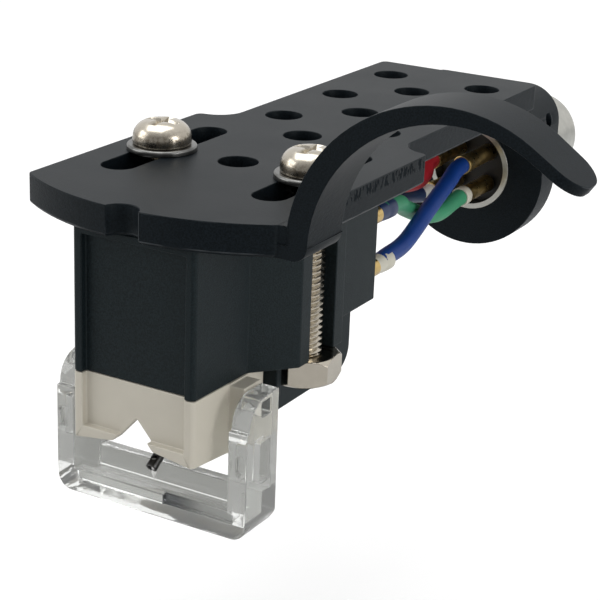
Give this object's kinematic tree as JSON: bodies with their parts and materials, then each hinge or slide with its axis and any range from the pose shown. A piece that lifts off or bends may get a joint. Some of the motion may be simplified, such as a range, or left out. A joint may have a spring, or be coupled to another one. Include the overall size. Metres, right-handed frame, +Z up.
{
  "type": "phono cartridge on a headshell",
  "caption": "Moving-magnet phono cartridge bolted under a perforated black headshell with a finger lift, bayonet connector and a clear stylus guard.",
  "frame": {"origin": "on the bayonet connector's axis, in the middle of its plain bearing length behind the locating pin", "axes": "+Y along the connector's axis and out of the tonearm end, +Z up, away from the record, +X the side of the finger lift"},
  "size_m": [0.0415, 0.0719, 0.0335],
  "materials": {
    "anodised_black": "matte black anodised casting",
    "body_black": "fine matte black moulding",
    "grip_beige": "smooth warm beige moulding",
    "guard_clear": "clear plastic, slightly frosted at the edges",
    "nickel": "bright nickel plate",
    "brass_pin": "gold-coloured plate",
    "clip_gold": "pale gold-coloured plate",
    "insulator": "dark insulating plastic",
    "gasket": "pale soft washer",
    "dark_steel": "dark steel",
    "copper_wire": "enamelled copper winding",
    "tube_alloy": "plain light alloy",
    "damper_rubber": "soft black rubber",
    "tip_stone": "hard polished stone",
    "lead_red": "red insulation",
    "lead_white": "white insulation",
    "lead_green": "green insulation",
    "lead_blue": "blue insulation"
  },
  "bodies": {
    "cartridge_and_headshell": {"bayonet_tube": "nickel", "cartridge_body": "body_black", "cartridge_clip_blue": "clip_gold", "cartridge_clip_green": "clip_gold", "cartridge_clip_red": "clip_gold", "cartridge_clip_white": "clip_gold", "clamp_screw": "dark_steel", "coil_left": "copper_wire", "coil_right": "copper_wire", "connector_clip_blue": "clip_gold", "connector_clip_green": "clip_gold", "connector_clip_red": "clip_gold", "connector_clip_white": "clip_gold", "contact_pin_blue": "brass_pin", "contact_pin_green": "brass_pin", "contact_pin_red": "brass_pin", "contact_pin_white": "brass_pin", "gasket_washer": "gasket", "headshell_frame": "anodised_black", "hex_nut_left": "nickel", "hex_nut_right": "nickel", "insulator_block": "insulator", "lead_blue": "lead_blue", "lead_green": "lead_green", "lead_red": "lead_red", "lead_white": "lead_white", "locating_pin": "brass_pin", "magnetic_shield": "nickel", "mounting_screw_left": "nickel", "mounting_screw_right": "nickel", "pole_piece_left": "dark_steel", "pole_piece_right": "dark_steel", "terminal_block": "insulator", "terminal_pin_blue": "brass_pin", "terminal_pin_green": "brass_pin", "terminal_pin_red": "brass_pin", "terminal_pin_white": "brass_pin", "washer_left": "nickel", "washer_right": "nickel"},
    "stylus_holder": {"stylus_grip": "grip_beige", "stylus_tube": "tube_alloy", "rubber_damper": "damper_rubber"},
    "cantilever_arm": {"cantilever": "tube_alloy", "stylus_tip": "tip_stone", "magnet": "dark_steel"},
    "guard": {"stylus_guard": "guard_clear"}
  },
  "joints": [
    {"name": "stylus_pull_off", "type": "slide", "parent": "cartridge_and_headshell", "child": "stylus_holder", "axis": [0, -1, 0], "range_m": [0, 0.012]},
    {"name": "cantilever_flex", "type": "hinge", "parent": "stylus_holder", "child": "cantilever_arm", "pos_m": [0, -0.0582, -0.0068], "axis": [1, 0, 0], "range_deg": [-3, 3], "stiffness_Nm_per_rad": 0.002},
    {"name": "guard_pull_off", "type": "slide", "parent": "stylus_holder", "child": "guard", "axis": [0, 0, -1], "range_m": [0, 0.008]}
  ]
}
